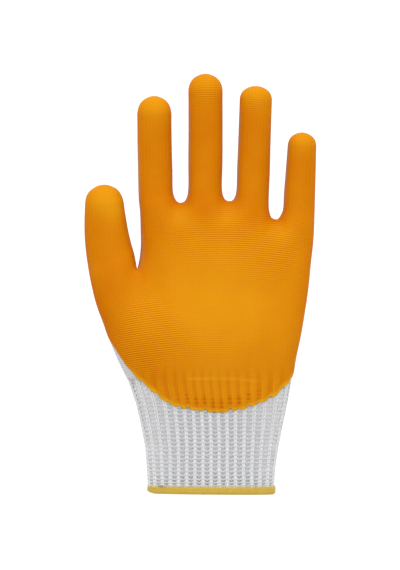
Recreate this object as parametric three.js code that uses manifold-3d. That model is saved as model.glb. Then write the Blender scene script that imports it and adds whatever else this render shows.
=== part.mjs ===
// A knitted work glove for the left hand with a nitrile palm, lying on its back.
// It is a size 9: 252 mm from hem to middle fingertip and about 104 mm across the palm.
// A seamless liner is knitted as five finger tubes, a hand and a ribbed cuff, the raw edge of
// the cuff is bound with overlock yarn, and the palm side is dipped in nitrile.
// x runs from the thumb to the little finger, y from the hem to the fingertips, z up from the
// table through the back of the hand to the palm. Millimetres.

import * as THREE from 'three';
import { mergeVertices } from 'three/addons/utils/BufferGeometryUtils.js';
import Module from 'manifold-3d';

const wasm = await Module();
wasm.setup();

const wall = 1.2; // thickness of the knitted fabric
const film = 0.6; // thickness of the nitrile
const clearance = 0.3; // left between pieces that touch
const cuffTop = 68.4; // where the ribs end and the plain knit of the hand begins
const hemHeight = 5; // overlock binding
const hemProud = 0.7; // how far the binding stands out from the fabric
const ribCount = 34; // ribs round the cuff
const ribDepth = 0.7; // of the grooves between them
const pointsPerRib = 3; // two on the rib and one in the groove
const smoothPoints = 44; // round the inside of the cuff and the binding

// Squareness of a section: 2 is an ellipse, more is boxier.
const handPower = 2.4;
const digitPower = 2.2;
// Over 1, the back of a section is pressed flat where it rests on the table.
const restFlatness = 1.08;

// Sections of the cuff, from the hem up to the hand: height along the glove, thumb side,
// little-finger side, underside and palm side.
const cuffRows = [
  { y: 3, left: -38.1, right: 37.8, low: 0.9, high: 20 },
  { y: 16, left: -38.8, right: 38.9, low: 0.9, high: 20.3 },
  { y: 28, left: -39.6, right: 40.7, low: 0.9, high: 21.2 },
  { y: 40, left: -41.7, right: 42.9, low: 0.9, high: 22.4 },
  { y: 54, left: -44.8, right: 45.8, low: 0.9, high: 24.3 },
  { y: cuffTop, left: -49.6, right: 48.3, low: 0.8, high: 26.4 },
];
const cuffHeights = [3, 8.5, 16, 28, 40, 54, 62, cuffTop]; // where the cuff has a ring of points
const ribbedFrom = [hemHeight, 12]; // the grooves reach their depth over this stretch
const ribbedTo = [60, cuffTop]; // and run out over this one

// Sections of the hand below the thumb's gap. Split is how far the thumb and the palm have
// parted into two rounded forms, with 1 at the gap.
const handRows = [
  { y: cuffTop + clearance, left: -49.7, right: 48.4, low: 0.8, high: 26.5, split: 0 },
  { y: 80, left: -55.9, right: 50.1, low: 0.3, high: 28.1, split: 0 },
  { y: 91, left: -60.4, right: 52.1, low: 0, high: 29.2, split: 0 },
  { y: 102, left: -63.6, right: 54.2, low: 0, high: 29.4, split: 0.06 },
  { y: 112, left: -67.2, right: 55.8, low: 0, high: 28.9, split: 0.2 },
  { y: 122, left: -70, right: 57.3, low: 0, high: 27.9, split: 0.5 },
];

// Sections of the palm from the thumb's gap to the finger roots. Share is the way up between
// them, and split is how far the four fingers have parted.
const palmRows = [
  { share: 0, left: -42.9, right: 58.7, low: 0, high: 26.4, split: 0 },
  { share: 0.33, left: -41.9, right: 59.5, low: 0, high: 25.2, split: 0.05 },
  { share: 0.67, left: -41.7, right: 60.4, low: 0, high: 23.8, split: 0.35 },
];

// Floors of the gaps between the digits, thumb side first, with half the width of each floor.
const gaps = [
  { x: -44, y: 136.2, half: 1.1 },
  { x: -18.2, y: 174.2, half: 2.2 },
  { x: 10.9, y: 175.1, half: 2.2 },
  { x: 38.6, y: 165, half: 2.2 },
];
const thumbOuterRoot = { x: -72, y: 131 };
const indexOuterRoot = { x: -41.8, y: 170 };
const littleOuterRoot = { x: 61, y: 158 };

// The digits. Each list holds the value at the root and at the tip of the tube, and bow is how
// far its middle swings to the side.
const digits = [
  {
    name: 'thumb',
    x: [-59.1, -65.3],
    y: [134, 184.9],
    width: [27.2, 21.6],
    low: [0.8, 4.2],
    high: [22.5, 20.6],
    bow: -1.3,
  },
  {
    name: 'index_finger',
    x: [-32.8, -34.2],
    y: [172, 238.1],
    width: [19, 18.8],
    low: [0.4, 6.4],
    high: [19.6, 21.2],
    bow: -0.3,
  },
  {
    name: 'middle_finger',
    x: [-3.5, -3.3],
    y: [174, 251.4],
    width: [18.3, 19],
    low: [0.4, 6.9],
    high: [19.9, 21.7],
    bow: 0,
  },
  {
    name: 'ring_finger',
    x: [24.9, 27.1],
    y: [170, 244.1],
    width: [17.6, 17.8],
    low: [0.4, 6.7],
    high: [19.7, 21.2],
    bow: 0,
  },
  {
    name: 'little_finger',
    x: [52.3, 54.9],
    y: [161, 216.3],
    width: [17.4, 15.4],
    low: [0.4, 5.6],
    high: [19.2, 19.4],
    bow: 0,
  },
];
const across = [-0.85, -0.45, 0, 0.45, 0.85]; // points over a digit, in half widths
const rings = [0.1, 0.3, 0.53, 0.77, 1]; // along the straight part of a digit
const capAngles = [32, 58, 79]; // rings round the tip, in degrees
const taper = 1.6; // over 1, a digit keeps its root's width longer on its way to the tip
const curl = 1.5; // over 1, its underside keeps low longer and then lifts off the table
const waistDepth = 2.2; // how far its palm side sinks between root and tip
const waistPlace = 0.7; // under 1, that waist lies nearer to the root

// Soft pads of the palm: middle, height and radii along x and y.
const pads = [
  { x: -18, y: 163, rise: 1.3, rx: 9, ry: 7 }, // below the gap of index and middle finger
  { x: 11.5, y: 164, rise: 1.3, rx: 9, ry: 7 }, // below the gap of middle and ring finger
  { x: 39, y: 153, rise: 1.2, rx: 9, ry: 7 }, // below the gap of ring and little finger
  { x: -40, y: 102, rise: 1.4, rx: 14, ry: 15 }, // root of the thumb
  { x: -36, y: 126, rise: -1.6, rx: 7, ry: 14 }, // crease beside the thumb
];

// Lower edge of the nitrile across the wrist, thumb side first.
const dipEdge = [
  { x: -90, y: 106 },
  { x: -66, y: 103 },
  { x: -59.1, y: 92 },
  { x: -49.5, y: 76.5 },
  { x: -40, y: 66.9 },
  { x: -30.3, y: 59.3 },
  { x: -17, y: 52.7 },
  { x: -6, y: 50.6 },
  { x: 6, y: 50 },
  { x: 18, y: 51 },
  { x: 30.9, y: 56.6 },
  { x: 41.5, y: 63.2 },
  { x: 48.3, y: 71.5 },
  { x: 60, y: 76 },
  { x: 90, y: 80 },
];
const scallop = 0.5; // the edge dips this much lower on each rib
const scallopsWithin = [40, 48]; // and runs smooth beyond this far from the middle
const ribPitch = 5.1; // on the palm side of the wrist
const dipEdgePoints = 108;
const beyond = 300; // larger than the glove, for the solids that only cut

const { lerp, clamp, smoothstep, degToRad } = THREE.MathUtils;

// The section at a height between the rows of a table.
function sectionAt(rows, y) {
  const above = Math.max(1, rows.findIndex((row) => row.y >= y));
  const [from, to] = [rows[above - 1], rows[above]];
  const share = (y - from.y) / (to.y - from.y);
  const blend = (key) => lerp(from[key], to[key], share);
  return { y, left: blend('left'), right: blend('right'), low: blend('low'), high: blend('high') };
}

// Height of a section's palm side and back at x, for a section that spans left to right.
function heightsAt(x, section, power, flatness) {
  const middle = (section.left + section.right) / 2;
  const offset = clamp(Math.abs(x - middle) / ((section.right - section.left) / 2), 0, 1);
  const fullness = (1 - offset ** power) ** (1 / power);
  const level = (section.low + section.high) / 2;
  const half = (section.high - section.low) / 2;
  return { palm: level + half * fullness, back: level - half * Math.min(1, flatness * fullness) };
}

function blendHeights(a, b, share) {
  return { palm: lerp(a.palm, b.palm, share), back: lerp(a.back, b.back, share) };
}

function padRise(x, y) {
  return pads.reduce((sum, pad) => {
    const distance = ((x - pad.x) / pad.rx) ** 2 + ((y - pad.y) / pad.ry) ** 2;
    return sum + pad.rise * Math.exp(-distance);
  }, 0);
}

// The skin is the outer surface of the whole hand: points, and faces that know their piece
// and whether they lie on the palm side.
const skin = { points: [], faces: [] };

function addPoint({ x, y, z }) {
  return skin.points.push(new THREE.Vector3(x, y, z)) - 1;
}

function addFace(corners, piece, onPalm) {
  skin.faces.push({ corners, piece, onPalm });
}

// A point on the side of the hand or of a digit, halfway up its section.
function sidePoint({ x, y }, section) {
  return { x, y, z: (section.low + section.high) / 2 };
}

function addRow(columns, left, right) {
  return {
    left: addPoint(left),
    palm: columns.map(({ x, y, heights }) => addPoint({ x, y, z: heights.palm + padRise(x, y) })),
    right: addPoint(right),
    back: columns.map(({ x, y, heights }) => addPoint({ x, y, z: heights.back })),
  };
}

// A loop runs from its thumb-side point over the palm to the other side and back underneath.
function loopOf(row, first = 0, last = row.palm.length - 1) {
  const palm = row.palm.slice(first, last + 1);
  const back = row.back.slice(first, last + 1).reverse();
  return [row.left, ...palm, row.right, ...back];
}

function addBand(lower, upper, piece, wraps = false) {
  const palmFaces = lower.length / 2;
  lower.forEach((corner, i) => {
    const next = (i + 1) % lower.length;
    addFace([corner, lower[next], upper[next], upper[i]], piece, wraps || i < palmFaces);
  });
}

// The web between two digits, over the floor of their gap.
function addWeb(row, column, leftSaddle, rightSaddle) {
  addFace([row.palm[column], row.palm[column + 1], rightSaddle, leftSaddle], 'hand', true);
  addFace([leftSaddle, rightSaddle, row.back[column + 1], row.back[column]], 'hand', false);
}

// A digit's root line runs between two gaps, or between a gap and a free side of the hand.
const rootEnds = digits.map((_, d) => {
  const [before, after] = [gaps[d - 1], gaps[d]];
  const freeSide = [thumbOuterRoot, indexOuterRoot][d];
  return [
    freeSide ?? { x: before.x + before.half, y: before.y },
    after ? { x: after.x - after.half, y: after.y } : littleOuterRoot,
  ];
});

function rootSection(digit) {
  return { left: -1, right: 1, low: digit.low[0], high: digit.high[0] };
}

// One point for each column over a digit's root line.
function rootColumns(d) {
  const [from, to] = rootEnds[d];
  return across.map((s) => ({
    x: lerp(from.x, to.x, (s + 1) / 2),
    y: lerp(from.y, to.y, (s + 1) / 2),
    heights: heightsAt(s, rootSection(digits[d]), digitPower, 1),
  }));
}

const [thumb, ...fingers] = digits;
const [gapPalmRow, ...upperPalmRows] = palmRows;
const thumbColumns = rootColumns(0);
const fingerColumns = fingers.flatMap((_, i) => rootColumns(i + 1));
const lastColumn = across.length - 1;

// Columns of a palm row, between the thumb's gap and the finger roots.
function palmColumns(row) {
  return fingerColumns.map((root) => {
    const place = (root.x - indexOuterRoot.x) / (littleOuterRoot.x - indexOuterRoot.x);
    const x = lerp(row.left, row.right, place);
    const whole = heightsAt(x, row, handPower, restFlatness);
    return {
      x,
      y: lerp(gaps[0].y, root.y, row.share),
      heights: blendHeights(whole, root.heights, row.split),
    };
  });
}

// Columns of a row below the thumb's gap: evenly spread at the cuff, and shifting on the way
// up to the places that the digits need.
function handColumns(row) {
  const gapColumns = [...thumbColumns, ...palmColumns(gapPalmRow)];
  const shift = smoothstep(row.y, handRows[0].y, gaps[0].y);
  const places = gapColumns.map((column, i) => {
    const swing = Math.cos((Math.PI * (i + 1)) / (gapColumns.length + 1));
    const even = (1 - Math.sign(swing) * Math.abs(swing) ** (2 / handPower)) / 2;
    const atGap = (column.x - thumbOuterRoot.x) / (gapPalmRow.right - thumbOuterRoot.x);
    return lerp(row.left, row.right, lerp(even, atGap, shift));
  });
  const parting = (places[lastColumn] + places[lastColumn + 1]) / 2;
  const thumbForm = { ...rootSection(thumb), left: row.left, right: parting };
  const palmForm = { ...gapPalmRow, left: parting, right: row.right };
  return places.map((x, i) => {
    const whole = heightsAt(x, row, handPower, restFlatness);
    const parted =
      i <= lastColumn
        ? heightsAt(x, thumbForm, digitPower, 1)
        : heightsAt(x, palmForm, handPower, restFlatness);
    return { x, y: row.y, heights: blendHeights(whole, parted, row.split) };
  });
}

// A ring round a digit, square to its axis. Along is 0 at the root and 1 where the tip begins,
// and cap is the angle round the tip.
function addDigitRing(digit, along, cap = 0) {
  const root = new THREE.Vector2(digit.x[0], digit.y[0]);
  const axis = new THREE.Vector2(digit.x[1], digit.y[1]).sub(root);
  const tipRadius = digit.width[1] / 2;
  const straight = axis.length() - tipRadius;
  axis.normalize();
  const centre = root.addScaledVector(axis, straight * along + tipRadius * Math.sin(cap));
  centre.x += digit.bow * Math.sin(Math.PI * along);
  const halfWidth = (lerp(...digit.width, along ** taper) / 2) * Math.cos(cap);
  const low = lerp(...digit.low, along ** curl);
  const waist = waistDepth * Math.sin(Math.PI * along ** waistPlace);
  const high = lerp(...digit.high, along ** 2) - waist;
  const level = (low + high) / 2;
  const depth = ((high - low) / 2) * Math.cos(cap);
  const section = { left: -1, right: 1, low: level - depth, high: level + depth };
  const at = (s) => ({ x: centre.x + s * halfWidth * axis.y, y: centre.y - s * halfWidth * axis.x });
  const columns = across.map((s) => ({ ...at(s), heights: heightsAt(s, section, digitPower, 1) }));
  return loopOf(addRow(columns, sidePoint(at(-1), section), sidePoint(at(1), section)));
}

// The digit's tube from its root loop to its tip. The stub below the first ring belongs to the
// hand, so that the web between two fingers is one piece with it.
function addDigit(digit, rootLoop) {
  const tube = rings.map((along) => addDigitRing(digit, along));
  const cap = capAngles.map((degrees) => addDigitRing(digit, 1, degToRad(degrees)));
  addBand(rootLoop, tube[0], 'hand');
  tube.slice(1).forEach((upper, i) => addBand(tube[i], upper, digit.name));
  const tipLoops = [tube[tube.length - 1], ...cap];
  cap.forEach((upper, i) => addBand(tipLoops[i], upper, digit.name, true));
  const tip = addPoint({ x: digit.x[1], y: digit.y[1], z: (digit.low[1] + digit.high[1]) / 2 });
  const lastLoop = cap[cap.length - 1];
  lastLoop.forEach((corner, i) => {
    addFace([corner, lastLoop[(i + 1) % lastLoop.length], tip], digit.name, true);
  });
  digit.jointLoop = tube[0];
}

// The hand from the cuff to the thumb's gap.
function buildLowerHand() {
  const rows = handRows.map((row) => {
    const [left, right] = [{ x: row.left, y: row.y }, { x: row.right, y: row.y }];
    return addRow(handColumns(row), sidePoint(left, row), sidePoint(right, row));
  });
  const gapRow = addRow(
    [...thumbColumns, ...palmColumns(gapPalmRow)],
    sidePoint(thumbOuterRoot, rootSection(thumb)),
    sidePoint({ x: gapPalmRow.right, y: gaps[0].y }, gapPalmRow),
  );
  const loops = [...rows, gapRow].map((row) => loopOf(row));
  loops.slice(1).forEach((upper, i) => addBand(loops[i], upper, 'hand'));
  return { cuffLoop: loops[0], gapRow };
}

// The thumb, and the web between it and the palm. It gives the loop that the palm grows from.
function buildThumb(gapRow) {
  const thumbSaddle = addPoint(sidePoint(rootEnds[0][1], rootSection(thumb)));
  const palmSaddle = addPoint(sidePoint({ x: gapPalmRow.left, y: gaps[0].y }, gapPalmRow));
  addWeb(gapRow, lastColumn, thumbSaddle, palmSaddle);
  addDigit(thumb, loopOf({ ...gapRow, right: thumbSaddle }, 0, lastColumn));
  return loopOf({ ...gapRow, left: palmSaddle }, across.length);
}

// The palm above the thumb's gap, up to the row of finger roots.
function buildPalm(lowestLoop) {
  const rows = upperPalmRows.map((row) => {
    const left = { x: row.left, y: lerp(gaps[0].y, indexOuterRoot.y, row.share) };
    const right = { x: row.right, y: lerp(gaps[0].y, littleOuterRoot.y, row.share) };
    return addRow(palmColumns(row), sidePoint(left, row), sidePoint(right, row));
  });
  const rootRow = addRow(
    fingerColumns,
    sidePoint(indexOuterRoot, rootSection(fingers[0])),
    sidePoint(littleOuterRoot, rootSection(fingers[fingers.length - 1])),
  );
  const loops = [lowestLoop, ...[...rows, rootRow].map((row) => loopOf(row))];
  loops.slice(1).forEach((upper, i) => addBand(loops[i], upper, 'hand'));
  return rootRow;
}

// The fingers, with a web between each two.
function buildFingers(rootRow) {
  const saddleOf = (i, end) => addPoint(sidePoint(rootEnds[i + 1][end], rootSection(fingers[i])));
  const last = fingers.length - 1;
  const lefts = fingers.map((_, i) => (i === 0 ? rootRow.left : saddleOf(i, 0)));
  const rights = fingers.map((_, i) => (i === last ? rootRow.right : saddleOf(i, 1)));
  fingers.forEach((finger, i) => {
    const first = i * across.length;
    const root = { ...rootRow, left: lefts[i], right: rights[i] };
    addDigit(finger, loopOf(root, first, first + lastColumn));
    if (i < last) addWeb(rootRow, first + lastColumn, rights[i], lefts[i + 1]);
  });
}

// Outward direction at each point of the skin, from the faces that meet there. At the open ends
// of a piece it lies in the plane of the end, so that two pieces meet face to face.
function skinNormals(cuffLoop) {
  const normals = skin.points.map(() => new THREE.Vector3());
  const first = new THREE.Vector3();
  const second = new THREE.Vector3();
  skin.faces.forEach(({ corners }) => {
    const [a, b, c, d = corners[0]] = corners.map((i) => skin.points[i]);
    first.subVectors(c, a);
    second.subVectors(d === corners[0] ? a : d, b);
    const area = first.cross(second);
    corners.forEach((i) => normals[i].add(area));
  });
  normals.forEach((normal) => normal.normalize());
  cuffLoop.forEach((i) => normals[i].setY(0).normalize());
  digits.forEach((digit) => {
    const axis = new THREE.Vector3(digit.x[1] - digit.x[0], digit.y[1] - digit.y[0], 0).normalize();
    digit.axis = axis;
    digit.jointLoop.forEach((i) => normals[i].projectOnPlane(axis).normalize());
  });
  return normals;
}

// A closed solid between two offsets of the skin, over the faces that are wanted. Its rim joins
// the two along every edge that only one of those faces has. The seam, if there is one, is a
// loop of points that moves by a step.
function shellSolid(wanted, normals, outer, inner, seam = { loop: [] }) {
  const faces = skin.faces.filter(wanted);
  const vertices = [];
  const triangles = [];
  const edges = new Map();
  const count = skin.points.length;
  [outer, inner].forEach((offset) =>
    skin.points.forEach((point, i) => {
      const moved = point.clone().addScaledVector(normals[i], offset);
      if (seam.loop.includes(i)) moved.add(seam.step);
      vertices.push(...moved);
    }),
  );
  const addTriangles = (corners) => {
    for (let i = 2; i < corners.length; i += 1) {
      triangles.push(corners[0], corners[i - 1], corners[i]);
    }
  };
  faces.forEach(({ corners }) => {
    addTriangles(corners);
    const [first, ...others] = corners.map((i) => i + count);
    addTriangles([first, ...others.reverse()]);
    corners.forEach((a, i) => {
      const b = corners[(i + 1) % corners.length];
      if (!edges.delete(`${b},${a}`)) edges.set(`${a},${b}`, [a, b]);
    });
  });
  edges.forEach(([a, b]) => addTriangles([b, a, a + count, b + count]));
  return solidFrom(vertices, triangles);
}

function solidFrom(vertices, triangles) {
  const geometry = new THREE.BufferGeometry();
  geometry.setAttribute('position', new THREE.Float32BufferAttribute(vertices, 3));
  geometry.setIndex(triangles);
  return solidOf(geometry);
}

function solidOf(geometry) {
  geometry.deleteAttribute('normal');
  geometry.deleteAttribute('uv');
  const merged = mergeVertices(geometry, 1e-4);
  const mesh = new wasm.Mesh({
    numProp: 3,
    vertProperties: merged.attributes.position.array,
    triVerts: new Uint32Array(merged.index.array),
  });
  return new wasm.Manifold(mesh);
}

// The outline of the wrist: an oval with a flattened underside, starting at the thumb side and
// running over the palm.
class WristOval extends THREE.Curve {
  constructor(section) {
    super();
    this.section = section;
  }

  getPoint(t, target = new THREE.Vector3()) {
    const { left, right, low, high, y } = this.section;
    const angle = 2 * Math.PI * t;
    const swing = Math.cos(angle);
    const x = -Math.sign(swing) * Math.abs(swing) ** (2 / handPower);
    const rise = Math.abs(Math.sin(angle)) ** (2 / handPower);
    const lift = t <= 0.5 ? rise : -Math.min(1, restFlatness * rise);
    return target.set(lerp(left, right, (x + 1) / 2), y, lerp(low, high, (lift + 1) / 2));
  }
}

// A ring of points round the wrist, moved out by a function of the point's number. They are
// evenly spaced, or else closest at the two sides, where the oval bends most.
function wristRing(section, count, offsetAt, even = true) {
  const oval = new WristOval(section);
  return Array.from({ length: count }, (_, i) => {
    const share = i / count;
    const t = even ? oval.getUtoTmapping(share) : share;
    const point = oval.getPoint(t);
    const tangent = oval.getTangent(t);
    return point.add(new THREE.Vector3(-tangent.z, 0, tangent.x).setLength(offsetAt(i)));
  });
}

// Triangles between rings of equal length, each with the next, and the last with the first where
// the rings close on themselves.
function bandTriangles(rings, closes = false) {
  const size = rings[0].length;
  const triangles = [];
  for (let row = closes ? 0 : 1; row < rings.length; row += 1) {
    const upper = row * size;
    const lower = ((row + rings.length - 1) % rings.length) * size;
    for (let i = 0; i < size; i += 1) {
      const next = (i + 1) % size;
      triangles.push(lower + i, lower + next, upper + next, lower + i, upper + next, upper + i);
    }
  }
  return triangles;
}

// A closed solid through rings of equal length, with flat ends.
function loftSolid(rings) {
  const size = rings[0].length;
  const vertices = rings.flat().flatMap((point) => point.toArray());
  const triangles = bandTriangles(rings);
  [0, rings.length - 1].forEach((row) => {
    const centre = new THREE.Vector3();
    rings[row].forEach((point) => centre.addScaledVector(point, 1 / size));
    const hub = vertices.push(...centre.toArray()) / 3 - 1;
    for (let i = 0; i < size; i += 1) {
      const [a, b] = [row * size + i, row * size + ((i + 1) % size)];
      triangles.push(hub, ...(row === 0 ? [b, a] : [a, b]));
    }
  });
  return solidFrom(vertices, triangles);
}

// Rings of the ribbed cuff at an offset from its surface. Every third point lies in a groove.
function ribbedRings(sections, offset) {
  return sections.map((section) => {
    const start = smoothstep(section.y, ...ribbedFrom);
    const end = 1 - smoothstep(section.y, ...ribbedTo);
    const depth = ribDepth * start * end;
    return wristRing(section, ribCount * pointsPerRib, (i) =>
      i % pointsPerRib === 0 ? offset - depth : offset,
    );
  });
}

const cuffSections = cuffHeights.map((y) => sectionAt(cuffRows, y));
const liningDepth = wall + ribDepth / 2; // from the ribs' surface to the inside of the cuff

function ribCuff() {
  const outer = loftSolid(ribbedRings(cuffSections, 0));
  const reach = 5; // the hollow is cut past both ends
  const inner = cuffSections.map((section) => wristRing(section, smoothPoints, () => -liningDepth, false));
  const below = inner[0].map((point) => point.clone().setY(point.y - reach));
  const above = inner[inner.length - 1].map((point) => point.clone().setY(point.y + reach));
  return outer.subtract(loftSolid([below, ...inner, above]));
}

// The overlock binding is a channel wrapped round the raw edge of the cuff.
function hemBinding() {
  const edge = cuffRows[0];
  const bottom = edge.y - clearance;
  const shoulder = hemHeight - 0.5;
  const profile = [
    [0, 0],
    [hemProud, hemProud],
    [hemProud, shoulder],
    [clearance, hemHeight],
    [clearance, bottom],
    [-liningDepth - clearance, bottom],
    [-liningDepth - clearance, hemHeight],
    [-liningDepth - hemProud, shoulder],
    [-liningDepth - hemProud, hemProud],
    [-liningDepth, 0],
  ];
  const rings = profile.map(([offset, y]) => wristRing({ ...edge, y }, smoothPoints, () => offset, false));
  return solidFrom(rings.flat().flatMap((point) => point.toArray()), bandTriangles(rings, true));
}

// Everything on the glove above the lower edge of the dip, seen from the palm.
function dipRegion() {
  const curve = new THREE.SplineCurve(dipEdge.map(({ x, y }) => new THREE.Vector2(x, y)));
  const edge = curve.getSpacedPoints(dipEdgePoints).map((point) => {
    const onRibs = 1 - smoothstep(Math.abs(point.x), ...scallopsWithin);
    return point.setY(point.y - scallop * onRibs * Math.cos((2 * Math.PI * point.x) / ribPitch));
  });
  const [first, last] = [edge[0], edge[edge.length - 1]];
  const corners = [last, first].map(({ x }) => new THREE.Vector2(x, beyond));
  const outline = new THREE.Shape([...edge, ...corners]);
  return solidOf(new THREE.ExtrudeGeometry(outline, { depth: beyond, bevelEnabled: false }));
}

// The nitrile over the ribs of the wrist, on the palm side only. It runs a little way up under
// the nitrile of the hand, to be one film with it.
function dippedRibs() {
  const overlap = 0.4;
  const lowestEdge = Math.min(...dipEdge.map(({ y }) => y));
  const start = cuffSections.findIndex(({ y }) => y > lowestEdge) - 1;
  const wrist = sectionAt(handRows, handRows[0].y + overlap);
  const covered = [...cuffSections.slice(start), wrist];
  const outside = loftSolid(ribbedRings(covered, clearance + film));
  const inside = loftSolid(ribbedRings(covered, clearance));
  const level = (wrist.low + wrist.high) / 2;
  const palmSide = new THREE.BoxGeometry(beyond, beyond, beyond).translate(0, 0, level + beyond / 2);
  return outside.subtract(inside).intersect(solidOf(palmSide));
}

function paint(name, solid, material) {
  const { vertProperties, triVerts } = solid.getMesh();
  const geometry = new THREE.BufferGeometry();
  geometry.setAttribute('position', new THREE.Float32BufferAttribute(vertProperties, 3));
  geometry.setIndex([...triVerts]);
  geometry.computeVertexNormals();
  const mesh = new THREE.Mesh(geometry, material);
  mesh.name = name;
  return mesh;
}

const knit = new THREE.MeshStandardMaterial({ color: 0xd4d3d1, roughness: 0.95, metalness: 0 });
const overlock = new THREE.MeshStandardMaterial({ color: 0xd0b04e, roughness: 0.85, metalness: 0 });
const nitrile = new THREE.MeshStandardMaterial({ color: 0xe08c0c, roughness: 0.5, metalness: 0 });

const { cuffLoop, gapRow } = buildLowerHand();
buildFingers(buildPalm(buildThumb(gapRow)));
const normals = skinNormals(cuffLoop);

const glove = new THREE.Group();
glove.name = 'nitrile_coated_glove';
const handShell = shellSolid((face) => face.piece === 'hand', normals, 0, -wall);
glove.add(paint('hand', handShell, knit));
digits.forEach((digit) => {
  const seam = { loop: digit.jointLoop, step: digit.axis.clone().multiplyScalar(clearance) };
  const tube = shellSolid((face) => face.piece === digit.name, normals, 0, -wall, seam);
  glove.add(paint(digit.name, tube, knit));
});
glove.add(paint('rib_cuff', ribCuff(), knit));
glove.add(paint('hem_binding', hemBinding(), overlock));
const dipped = shellSolid((face) => face.onPalm, normals, clearance + film, clearance);
const coating = dipped.add(dippedRibs()).intersect(dipRegion());
glove.add(paint('palm_coating', coating, nitrile));

// The origin lies under the middle of the glove, on the table.
const box = new THREE.Box3().setFromObject(glove);
const middle = box.getCenter(new THREE.Vector3());
glove.position.set(-middle.x, -middle.y, -box.min.z);

export default glove;
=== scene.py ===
# A knitted work glove with a nitrile palm, size 9, lying on its back on a pale table.
# The glove is worked out in millimetres from the middle of its hem: x runs from the thumb side
# to the little finger, y from the hem to the fingertips and z up through the palm.

import math
from collections import namedtuple

import bpy
import numpy as np
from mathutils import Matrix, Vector


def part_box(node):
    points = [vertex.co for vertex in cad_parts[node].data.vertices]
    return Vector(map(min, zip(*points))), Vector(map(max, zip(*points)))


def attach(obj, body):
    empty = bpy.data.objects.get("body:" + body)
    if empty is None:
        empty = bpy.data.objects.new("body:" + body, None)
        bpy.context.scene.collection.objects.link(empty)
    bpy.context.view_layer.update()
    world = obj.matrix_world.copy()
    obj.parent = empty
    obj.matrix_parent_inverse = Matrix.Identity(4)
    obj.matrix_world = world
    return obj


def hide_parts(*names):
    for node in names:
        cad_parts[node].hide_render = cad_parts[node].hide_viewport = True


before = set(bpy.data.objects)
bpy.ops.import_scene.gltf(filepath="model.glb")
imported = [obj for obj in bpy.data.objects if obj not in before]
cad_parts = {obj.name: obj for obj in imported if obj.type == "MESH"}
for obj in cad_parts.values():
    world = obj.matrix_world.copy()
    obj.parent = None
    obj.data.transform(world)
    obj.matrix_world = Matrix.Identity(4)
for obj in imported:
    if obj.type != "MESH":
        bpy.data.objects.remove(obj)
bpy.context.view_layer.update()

# The knitted hand
# White polyester yarn, knitted on a glove machine as five finger tubes and a hand in one piece
# without a seam. Its form carries the coating, and its plain stitches show on the back.

millimetre = 0.001
wall = 1.2
knit_proud = 0.25  # the stitches bulge out of the fabric's middle this much
cuff_top = 68.4
seam = 0.3  # the hand starts this far above the ribs
table_touch = 0.03  # nothing lies lower than this
hand_power = 2.4  # squareness of a section: 2 is an ellipse, more is boxier
digit_power = 2.2
rest_flatness = 1.08  # over 1, the back of a section is pressed flat where it rests

Section = namedtuple("Section", "y left right low high split")
cuff_rows = [
    Section(3, -38.1, 37.8, 0.9, 20, 0),
    Section(16, -38.8, 38.9, 0.9, 20.3, 0),
    Section(28, -39.6, 40.7, 0.9, 21.2, 0),
    Section(40, -41.7, 42.9, 0.9, 22.4, 0),
    Section(54, -44.8, 45.8, 0.9, 24.3, 0),
    Section(cuff_top, -49.6, 48.3, 0.8, 26.4, 0),
]
hand_rows = [
    Section(cuff_top + seam, -50.4, 48.4, 0.8, 26.5, 0),
    Section(80, -55.3, 49.8, 0.3, 28.1, 0),
    Section(91, -59.9, 52.1, 0, 29.2, 0),
    Section(102, -63.4, 54.2, 0, 29.4, 0.06),
    Section(112, -67.2, 55.8, 0, 28.9, 0.2),
    Section(122, -70, 57.3, 0, 27.9, 0.5),
]
# Here y is the share of the way from the thumb's gap to the finger roots.
palm_rows = [
    Section(0, -43.4, 58.7, 0, 26.4, 0),
    Section(0.33, -41.4, 59.5, 0, 25.2, 0.05),
    Section(0.67, -41.4, 60.4, 0, 23.8, 0.35),
]
dipped_wrist = [46, 50, 54, 58, 61.5, 65]  # heights on the cuff where the coating needs its form

Gap = namedtuple("Gap", "x y half")
gaps = [Gap(-44.4, 135.2, 0.8), Gap(-18.2, 174.4, 1.9), Gap(10.9, 175.4, 1.9), Gap(38.6, 164.5, 1.9)]
thumb_outer_root = (-72, 131)
index_outer_root = (-41.8, 170)
little_outer_root = (61, 158)

# Each pair is the value at the root and at the tip, bow is how far the middle swings out, and
# dome is the length of the round end in half widths.
Digit = namedtuple("Digit", "x y width low high bow dome")
digits = [
    Digit((-58.5, -65.5), (134, 184.9), (26.7, 21.6), (0.8, 4.2), (22.5, 20.6), -1.2, 0.97),
    Digit((-32.8, -34.2), (172, 238.1), (19, 18.8), (0.4, 6.4), (19.6, 21.2), -0.3, 1),
    Digit((-3.7, -3.3), (174, 251.4), (18.8, 18.8), (0.4, 6.9), (19.9, 21.7), 0.2, 0.94),
    Digit((24.7, 27.1), (170, 244.1), (17.9, 17.6), (0.4, 6.7), (19.7, 21.2), 0, 0.78),
    Digit((52.3, 54.9), (161, 216.3), (17.4, 15.4), (0.4, 5.6), (19.2, 19.4), 0, 0.88),
]
across = [-0.85, -0.45, 0, 0.45, 0.85]  # points over a digit, in half widths
stub = 6.3  # a digit has its first ring this far above its root
level_by = 0.5  # its rings lean with its root and come level this far up its straight part
rings = [0.32, 0.56, 0.78, 0.93, 1]  # the others along its straight part
cap_angles = [27, 52, 75]  # and round the tip, in degrees
taper = 1.6
curl = 1.5
waist_depth = 2.2
waist_place = 0.7
side_reach = 1.3  # arc from a digit's middle to its side, in half widths
rib_groove = 0.7  # the fabric over the wrist sinks this far between the ribs
ribs_fade = (67, 80)  # they fade into the hand over this stretch

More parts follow.
